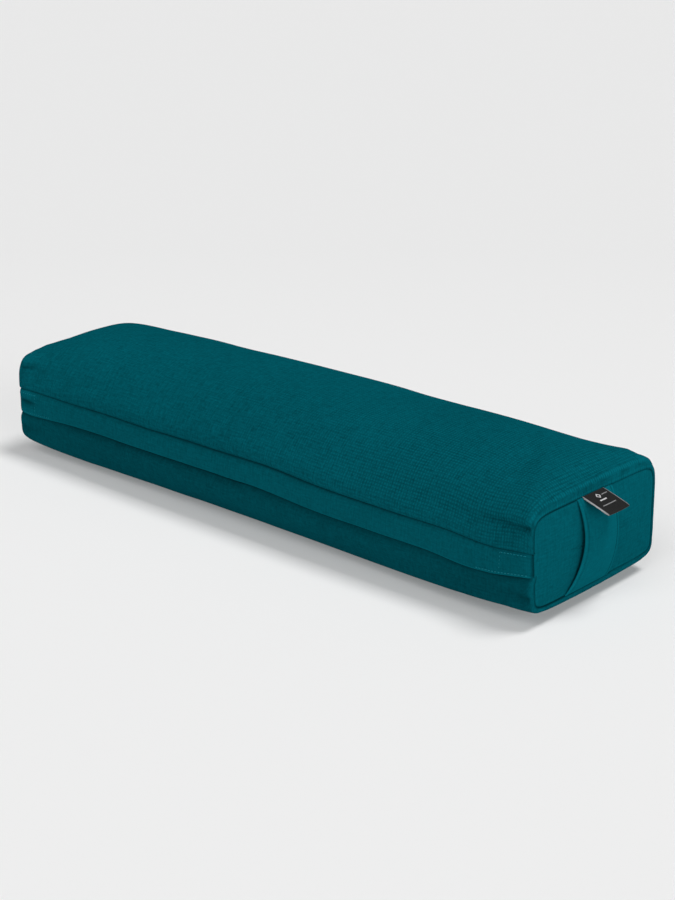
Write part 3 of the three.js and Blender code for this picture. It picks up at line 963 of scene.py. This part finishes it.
def build_lining(stuffed):
    """The lining bag, open where its zip is sewn in."""
    vertices, faces = closed_bag(stuffed, 2.3 * MM, 5 * MM, 0.4 * MM)
    window_low = low("lining_zip_tape_lower") + ZIP_HEM
    window_high = high("lining_zip_tape_upper") - ZIP_HEM

    def in_window(face):
        x, y, z = vertices[list(face)].mean(axis=0)
        return window_low[0] < x < window_high[0] and window_low[2] < z < window_high[2] and y > 0

    piece = mesh_object("lining_bag", vertices, [face for face in faces if not in_window(face)])
    weave_coordinates(piece, vertices[:, 0] + vertices[:, 1] * 0.5, vertices[:, 2] + vertices[:, 1] * 0.5)
    return thicken(piece, 0.5 * MM)


def build_filling(stuffed):
    vertices, faces = closed_bag(stuffed, 4.2 * MM, 7 * MM, 4.5 * MM)
    return mesh_object("buckwheat_hulls", vertices, faces)


# ---- the zip flap ----

FLAP_THICK = 1.7 * MM
FLAP_PROUD = 1.3 * MM
FLAP_TUCK = 1.6 * MM  # how far the flap's top edge reaches up behind the cloth above it


def flap_surface(x, part):
    """A point on the flap's outer face, from its top edge at part 0 to its lower edge at part 1."""
    top, lower = flap_edges(x)
    z = top + FLAP_TUCK + (lower - top - FLAP_TUCK) * part
    out = FLAP_PROUD * smooth(0.03, 0.2, part) - 2.2 * MM * (1 - smooth(0.0, 0.12, part))
    out = out + 0.45 * MM * np.sin(math.pi * part) * (1 - bump(x, HALF, 0.05))
    out = out - 1.0 * MM * smooth(HALF - 6 * MM, HALF, np.abs(x))
    ripple = 0.5 * MM * soft_noise(x, 0, 0, 30 * MM, 11) * smooth(0.5, 1, part)
    crease, flare = end_crease(x, part)
    return front_y(x, z) - out - ripple + 3.4 * MM * crease - 1.4 * MM * flare, z


def end_crease(x, part):
    """The wedge-shaped crease at the flap's far end, and the flare of the cloth on either side of it."""
    wedge = bump(x, -HALF + 14 * MM, 16 * MM) * smooth(-HALF, -HALF + 6 * MM, x)
    middle = 0.5 + 0.9 * (x + HALF)
    crease = wedge * np.exp(-np.abs(part - middle) / 0.09)
    flare = wedge * (bump(part, middle - 0.3, 0.2) + bump(part, middle + 0.3, 0.2))
    return crease, flare


FLAP_ROWS, FLAP_ACROSS = 190, 20  # stations along half of the flap, and points across each face


def build_flap_half(name, sign):
    """Half of the flap: a doubled strip, tucked into the seam above it and folded at its lower edge."""
    s = np.linspace(0, 1, FLAP_ROWS)
    xs = sign * (HALF - 0.6 * MM) * (0.6 * s + 0.4 * np.sin(math.pi * s / 2))
    parts = np.linspace(0, 1, FLAP_ACROSS)
    outer = np.array([np.stack([xs, *flap_surface(xs, np.full(FLAP_ROWS, part))], -1) for part in parts])
    inner = outer[::-1].copy()
    inner[..., 1] += FLAP_THICK
    fold = (outer[-1] + inner[0]) / 2
    fold[:, 2] -= 0.8 * MM
    points = np.swapaxes(np.concatenate([outer, fold[None], inner]), 0, 1)
    faces = grid_faces(FLAP_ROWS, points.shape[1], closed=True)
    if sign > 0:
        faces = [face[::-1] for face in faces]
    piece = mesh_object(name, points.reshape(-1, 3), faces)
    tone = np.zeros(points.shape[:2])
    # the fold along the lower edge is lighter: partly wear, partly painted highlight
    tone[:, FLAP_ACROSS] = 0.9
    tone[:, FLAP_ACROSS - 1] = tone[:, FLAP_ACROSS + 1] = 0.55
    # painted shadow along the top edge, tucked under the cloth above
    tone[:, :2] = -0.7
    # painted shade in the far end's crease, painted highlight on its flare
    for column, part in enumerate(parts):
        crease, flare = end_crease(xs, part)
        tone[:, column] += 0.25 * flare - 0.9 * crease
    # painted shade where the flap runs into the end seam
    from_seam = HALF - np.abs(points[..., 0])
    tone = np.minimum(tone, 1 - 1.6 * np.exp(-((from_seam / (1.6 * MM)) ** 2)))
    weave_coordinates(piece, points[..., 0], points[..., 2], tone)
    return piece


FACING_HALF, FACING_DEPTH = 0.21, 12 * MM
FACING_ROWS, FACING_ACROSS = 120, 16


def build_flap_facing():
    """The flap's inner layer where it joins the cover."""
    xs = np.linspace(-FACING_HALF, FACING_HALF, FACING_ROWS)
    top, _ = flap_edges(xs)
    rows = []
    for part in np.linspace(0, 1, FACING_ACROSS):
        z = top + 2.2 * MM - FACING_DEPTH * part
        y = front_y(xs, z) + (2.2 - 1.0 * smooth(0, 0.6, part)) * MM
        rows.append(np.stack([xs, y, z], -1))
    points = np.swapaxes(np.array(rows), 0, 1)
    piece = mesh_object("flap_facing", points.reshape(-1, 3), grid_faces(FACING_ROWS, FACING_ACROSS))
    weave_coordinates(piece, points[..., 0], points[..., 2])
    return thicken(piece, 0.5 * MM, offset=0)


STITCH_SPACING, STITCH_LENGTH = 3.2 * MM, 2.3 * MM
STITCH_RINGS, STITCH_SIDES = 5, 6
BOLD_THREAD, FINE_THREAD = 0.38 * MM, 0.24 * MM  # radii


def build_stitches(name, path, radius):
    """Separate stitches along a path of points, each a short thread that dips in at its ends."""
    steps = np.linalg.norm(np.diff(path, axis=0), axis=1)
    along = np.concatenate([[0], np.cumsum(steps)])

    def point_at(distance):
        return np.array([np.interp(distance, along, path[:, k]) for k in range(3)])

    vertices, faces = [], []
    for start in np.arange(0, along[-1] - STITCH_LENGTH, STITCH_SPACING):
        faces += tube_faces(STITCH_RINGS, STITCH_SIDES, start=len(vertices))
        ahead = unit(point_at(start + STITCH_LENGTH) - point_at(start))
        side = unit(np.cross(ahead, (0, -1, 0.1)))
        out = np.cross(side, ahead)
        for ring in range(STITCH_RINGS):
            part = ring / (STITCH_RINGS - 1)
            dip = (2 * part - 1) ** 4
            centre = point_at(start + part * STITCH_LENGTH) - 0.4 * MM * dip * out
            thin = radius * (1 - 0.35 * dip)
            for turn in round_turns(STITCH_SIDES):
                vertices.append(centre + thin * (math.cos(turn) * out + math.sin(turn) * side))
    return mesh_object(name, vertices, faces)


def flap_stitches(name, sign, inner_x, part):
    """Topstitching along the flap's sewn-down end, from inner_x to the end seam."""
    xs = np.linspace(inner_x, HALF - 2.5 * MM, 40) * sign
    y, z = flap_surface(xs, np.full(40, part))
    path = np.stack([xs, y - 0.05 * MM, z], -1)
    return build_stitches(name, path, BOLD_THREAD if sign > 0 else FINE_THREAD)


def cross_stitches(name, sign, x):
    """The short row that closes the sewn-down end, across the flap."""
    xs = np.full(16, sign * x)
    y, z = flap_surface(xs, np.linspace(0.14, 0.88, 16))
    return build_stitches(name, np.stack([xs, y + 0.1 * MM, z], -1), FINE_THREAD)


# ---- handle and label ----

STRAP_CLOTH = 1.9 * MM
STRAP_BOTTOM, STRAP_TOP = END_LIFT + 0.6 * MM, END_LIFT + END_HEIGHT - 0.5 * MM
STRAP_MIDDLE_Y = (STRAP_LOW[1] + STRAP_HIGH[1]) / 2
STRAP_HALF = (STRAP_HIGH[1] - STRAP_LOW[1]) / 2
STRAP_ROWS = 34


def strap_bow(part):
    """How far the strap stands off the end panel, from its bottom seam at 0 to its top at 1."""
    return (STRAP_HIGH[0] - HALF - STRAP_CLOTH) * np.maximum(0, np.sin(math.pi * part)) ** 0.75


def strap_point(part, across):
    """The strap's outer face: part runs up it, and across runs from -1 to 1."""
    z = STRAP_BOTTOM + (STRAP_TOP - STRAP_BOTTOM) * part
    lean = 11 * MM * (1 - part) ** 3.2 * (0.5 - 0.5 * across) ** 1.5  # sewn in askew at the bottom
    belly = 0.8 * MM * (1 - across**2) * np.sin(math.pi * part)
    hem = 0.35 * MM * (bump(np.abs(across), 0.93, 0.05) - 0.8 * bump(np.abs(across), 0.84, 0.035))
    ripple = 0.3 * MM * soft_noise(z, STRAP_HALF * across, 0, 26 * MM, 14) * np.sin(math.pi * part)
    nearer = 1 - 0.25 * np.maximum(0, -across) ** 4  # the front edge lies closer to the panel
    x = HALF - 0.9 * MM + strap_bow(part) * nearer + belly + hem + ripple
    waist = (5.2 * np.sin(math.pi * part) - 1.4) * MM * (0.5 - 0.5 * across)
    return np.stack([x, STRAP_MIDDLE_Y + STRAP_HALF * across - lean + waist, z], -1)


def build_strap_half(name, start, stop):
    """Half of the handle, as a flat tube of doubled cloth with its edges turned in."""
    edge_steps = np.linspace(0.7, 1, 10)
    acrosses = np.concatenate([-edge_steps[::-1], np.linspace(-0.6, 0.6, 9), edge_steps])
    order = np.concatenate([acrosses, acrosses[::-1][1:-1]])
    # edges lighter, partly wear and partly painted highlight, with a thin line of painted shade at the
    # hem
    wear_and_painted_light = 0.5 * np.exp(-(((1 - np.abs(order)) / 0.06) ** 2)) - 0.6 * bump(np.abs(order), 0.86, 0.02)
    edge = np.clip((1 - np.abs(acrosses)) / 0.05, 0, 1)
    round_off = 0.5 * STRAP_CLOTH * (1 - np.sqrt(1 - (1 - edge) ** 2))
    rings = []
    for part in np.linspace(start, stop, STRAP_ROWS):
        front = strap_point(np.full(len(acrosses), part), acrosses)
        back = front.copy()
        front[:, 0] += STRAP_CLOTH - round_off
        back[:, 0] += round_off
        rings.append(np.concatenate([front, back[::-1][1:-1]]))
    points = np.array(rings)
    columns = points.shape[1]
    piece = mesh_object(name, points.reshape(-1, 3), grid_faces(STRAP_ROWS, columns, closed=True))
    weft, tone = np.tile(STRAP_HALF * order, STRAP_ROWS), np.tile(wear_and_painted_light, STRAP_ROWS)
    weave_coordinates(piece, points[..., 2], weft, tone)
    return piece


LABEL_PLY, LABEL_GAP = 0.45 * MM, 0.35 * MM
LABEL_DROOP = math.radians(17)
LABEL_ROWS, LABEL_STEPS = 22, 14


def label_profile(length):
    """The folded label in side view, as out and up pairs: the outside of the fold, then the inside."""
    turns = np.linspace(math.pi / 2, -math.pi / 2, 9)[1:-1]
    run = np.linspace(0, length, LABEL_STEPS)
    profile = []
    for reach, way in ((LABEL_PLY + LABEL_GAP / 2, 1), (-LABEL_GAP / 2, -1)):
        profile += [(out, reach) for out in run]
        profile += [(length + abs(reach) * math.cos(t), abs(reach) * math.sin(t)) for t in turns[::way]]
        profile += [(out, -reach) for out in run[::-1]]
    return profile


def build_label():
    """A folded damask label: two thin plies joined by the fold at the free end."""
    root = np.array([HALF - 1 * MM, (LABEL_LOW[1] + LABEL_HIGH[1]) / 2, STRAP_TOP + 0.4 * MM])
    half = (LABEL_HIGH[1] - LABEL_LOW[1]) / 2
    forward, down = math.cos(LABEL_DROOP), math.sin(LABEL_DROOP)
    length = (LABEL_HIGH[0] - root[0]) / forward
    profile = label_profile(length)
    points, cloth, tone = [], [], []
    for row in range(LABEL_ROWS):
        across = -half + 2 * half * row / (LABEL_ROWS - 1)
        selvage = row in (0, LABEL_ROWS - 1)
        for out, up in profile:
            bend = out / length
            curl = -1.1 * MM * bend**2 + 0.5 * MM * (across / half) ** 2 * bend
            x = root[0] + out * forward + up * down
            points.append((x, root[1] + across, root[2] - out * down + up * forward + curl))
            cloth.append((out, across))
            tone.append(0.8 if selvage else 0.0)
    piece = mesh_object("folded_label", points, tube_faces(LABEL_ROWS, len(profile)))
    weave_coordinates(piece, *np.transpose(cloth), tone)
    return piece


# ---- zips ----

COIL_PITCH, COIL_STRAND = 1.9 * MM, 0.42 * MM  # from turn to turn, and the strand's radius
COIL_STEPS, COIL_SIDES = 10, 6
COIL_MESH = 0.1 * MM  # how far the two coils reach into each other


def build_coil(zip_name, place):
    """A zip coil: one strand wound along its tape, bulging towards the other coil until the two mesh."""
    node = f"{zip_name}_coil_{place}"
    start, end = low(node), high(node)
    meet = (low(f"{zip_name}_coil_upper")[2] + high(f"{zip_name}_coil_lower")[2]) / 2
    outer = end[2] if place == "upper" else start[2]
    radius_y = (end[1] - start[1]) / 2 - COIL_STRAND
    radius_z = abs(outer - meet) / 2 + COIL_MESH - COIL_STRAND
    turns = int((end[0] - start[0] - 2 * COIL_STRAND) / COIL_PITCH)
    angle = np.linspace(0, 2 * math.pi * turns, turns * COIL_STEPS + 1)
    x = (start[0] + end[0]) / 2 + COIL_PITCH * (angle / (2 * math.pi) - turns / 2)
    round_y, round_z = np.cos(angle) * radius_y, np.sin(angle) * radius_z
    path = np.stack([x, (start[1] + end[1]) / 2 + round_y, (outer + meet) / 2 + round_z], -1)
    ahead = unit(np.gradient(path, axis=0))
    out = unit(np.stack([0 * x, round_y, round_z], -1))
    side = np.cross(ahead, out)
    ways = [math.cos(turn) * out + math.sin(turn) * side for turn in round_turns(COIL_SIDES)]
    vertices = np.stack([path + COIL_STRAND * way for way in ways], axis=1).reshape(-1, 3)
    return mesh_object(f"{node}_wound", vertices, tube_faces(len(path), COIL_SIDES))


# ---- build and dress ----

STITCH_ROWS = (("lower", 0.272, 0.93), ("upper", 0.296, 0.17))  # inner end in x, and part of the way down
CROSS_ROW_X = 0.2955

PLAIN_ROWS = plain_rows()
STUFFED_ROWS, FOLD_TONE = stuffed_rows(PLAIN_ROWS)
cover = subdivide(thicken(build_wrap(PLAIN_ROWS, STUFFED_ROWS, FOLD_TONE), CANVAS_THICK))
dress(cover, CANVAS, "canvas", "cover", "cover_body")
lining_nodes = ("lining_bag_body", "lining_near_end", "lining_far_end")
dress(build_lining(STUFFED_ROWS), LINING, "lining", "cover", *lining_nodes)
hulls = dress(build_filling(STUFFED_ROWS), HULLS, "filling", "cover", "buckwheat_filling")

for end_name, sign in (("handle_end", 1), ("far_end", -1)):
    end_panel = subdivide(thicken(build_end(end_name, sign), CANVAS_THICK))
    dress(end_panel, PANEL, "canvas", "cover", f"{end_name}_panel")
    dress(build_seam_cord(f"{end_name}_seam_allowance", sign), CANVAS, "canvas", "cover")

for side_name, sign in (("near", 1), ("far", -1)):
    flap = f"flap_{side_name}"
    flap_half = subdivide(build_flap_half(f"{flap}_half", sign))
    flap_pieces = [dress(flap_half, PANEL, "canvas", None, "zip_flap", f"zip_flap_{side_name}_end")]
    for row_name, inner_x, part in STITCH_ROWS:
        stitches = flap_stitches(f"{flap}_{row_name}_stitches", sign, inner_x, part)
        flap_pieces.append(dress(stitches, THREAD, "canvas", None))
    stitches = cross_stitches(f"{flap}_cross_stitches", sign, CROSS_ROW_X)
    flap_pieces.append(dress(stitches, THREAD, "canvas", None))
    for flap_piece in flap_pieces:
        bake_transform(flap_piece)

facing = dress(build_flap_facing(), CANVAS, "canvas", None)
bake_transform(facing)

for strap_name, start, stop, seam_z in (
    ("handle_lower_half", 0.0, 0.5, STRAP_BOTTOM),
    ("handle_upper_half", 0.5, 1.0, STRAP_TOP),
):
    half_strap = subdivide(build_strap_half(strap_name, start, stop))
    dress(half_strap, STRAP, "strap", None, "handle_strap")
    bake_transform(half_strap)

dress(subdivide(build_label()), LABEL, "label", "label", "woven_label")

for zip_name in ("cover_zip", "lining_zip"):
    for place in ("upper", "lower"):
        dress(build_coil(zip_name, place), NYLON, "zip_coil", "cover", f"{zip_name}_coil_{place}")

# The zip tapes and metal parts are the CAD nodes themselves, with these materials.
CARRIED = (
    (TAPE, ("_zip_tape_upper", "_zip_tape_lower")),
    (METAL, ("_slider", "_pull", "_stop_near", "_stop_far")),
)
for material, endings in CARRIED:
    for node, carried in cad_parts.items():
        if node.endswith(endings):
            carried.data.materials.clear()
            carried.data.materials.append(material)

# ---- stage, lights and camera ----

VIEW_AZIMUTH, VIEW_ELEVATION = math.radians(42.28), math.radians(19.439)
VIEW_DISTANCE = 1.5965
VIEW_AIM = Vector((0.0212, 0.0179, 0.0561))
LENS, SENSOR = 67.62, 36  # millimetres
SOFTBOXES = (  # name, direction, strength, and width in degrees
    ("overhead softbox", (0.3, 0.22, 1), 1.78, 22),
    ("front softbox", (0.2, -1, 1), 1.0, 40),
    ("end softbox", (1, -0.2, 0.3), 1.02, 40),
)
FLOOR_HALF = 500
FLOOR_GLOW = 0.185
ROOM_TOP = 0.22  # sine of the height up to which the walls are pale


def stage_material():
    """Plain pale paper, a little lighter towards the front, with a faint glow that keeps shadows soft."""
    n = Nodes("studio floor")
    x, y, _ = n.split(n.place)
    back = n.times_plus(x, -0.673, n.times(y, 0.74))
    grain = n.noise(400, 2, 0.5)
    near = n.mix(grain, (0.7, 0.7, 0.7, 1), (0.704, 0.704, 0.704, 1))
    far = (0.655, 0.655, 0.655, 1)
    n.give("Base Color", n.mix(n.remap(back, -0.1, 1.1, 0.0, 1.0), near, far))
    n.give("Roughness", n.remap(grain, 0.0, 1.0, 0.93, 0.97))
    n.give("Emission Color", (1, 1, 1, 1))
    n.give("Emission Strength", FLOOR_GLOW)
    n.give("Specular IOR Level", 0.0)
    return n.material


def build_stage():
    corners = [(x * FLOOR_HALF, y * FLOOR_HALF, 0) for x, y in ((-1, -1), (1, -1), (1, 1), (-1, 1))]
    floor = mesh_object("studio_floor", corners, [(0, 1, 2, 3)])
    floor.data.materials.append(stage_material())


def add_to_scene(name, data, away, place):
    """A lamp or camera at a place, facing against the direction away."""
    made = bpy.data.objects.new(name, data)
    bpy.context.scene.collection.objects.link(made)
    made.location = place
    made.rotation_euler = away.to_track_quat("Z", "Y").to_euler()
    return made


def soft_sun(name, away, strength, spread):
    """A large softbox far off, in the direction away, spread degrees across."""
    data = bpy.data.lights.new(name, "SUN")
    data.energy = strength
    data.angle = math.radians(spread)
    away = Vector(away)
    add_to_scene(name, data, away, away.normalized() * 2)


def build_camera():
    level = math.cos(VIEW_ELEVATION)
    away = Vector((
        level * math.sin(VIEW_AZIMUTH),
        -level * math.cos(VIEW_AZIMUTH),
        math.sin(VIEW_ELEVATION),
    ))
    data = bpy.data.cameras.new("camera")
    data.sensor_fit = "VERTICAL"
    data.sensor_height = SENSOR
    data.lens = LENS
    data.clip_end = 2 * FLOOR_HALF
    camera = add_to_scene("camera", data, away, VIEW_AIM + away * VIEW_DISTANCE)
    bpy.context.scene.camera = camera


def build_world():
    """A dim room whose walls are as pale as the floor up to a little above the horizon."""
    world = bpy.data.worlds.new("studio")
    world.use_nodes = True
    tree = world.node_tree
    background = tree.nodes["Background"]
    background.inputs["Color"].default_value = (1, 1, 1, 1)
    place, split, fade = [
        tree.nodes.new(f"ShaderNode{kind}") for kind in ("TexCoord", "SeparateXYZ", "MapRange")
    ]
    tree.links.new(place.outputs["Generated"], split.inputs[0])
    tree.links.new(split.outputs[2], fade.inputs["Value"])
    fade.interpolation_type = "SMOOTHSTEP"
    for name, number in (("From Min", 0.0), ("From Max", ROOM_TOP), ("To Min", 0.8), ("To Max", 0.1)):
        fade.inputs[name].default_value = number
    tree.links.new(fade.outputs[0], background.inputs["Strength"])
    bpy.context.scene.world = world
    bpy.context.scene.view_settings.view_transform = "Standard"


build_stage()
build_world()
for softbox in SOFTBOXES:
    soft_sun(*softbox)
build_camera()
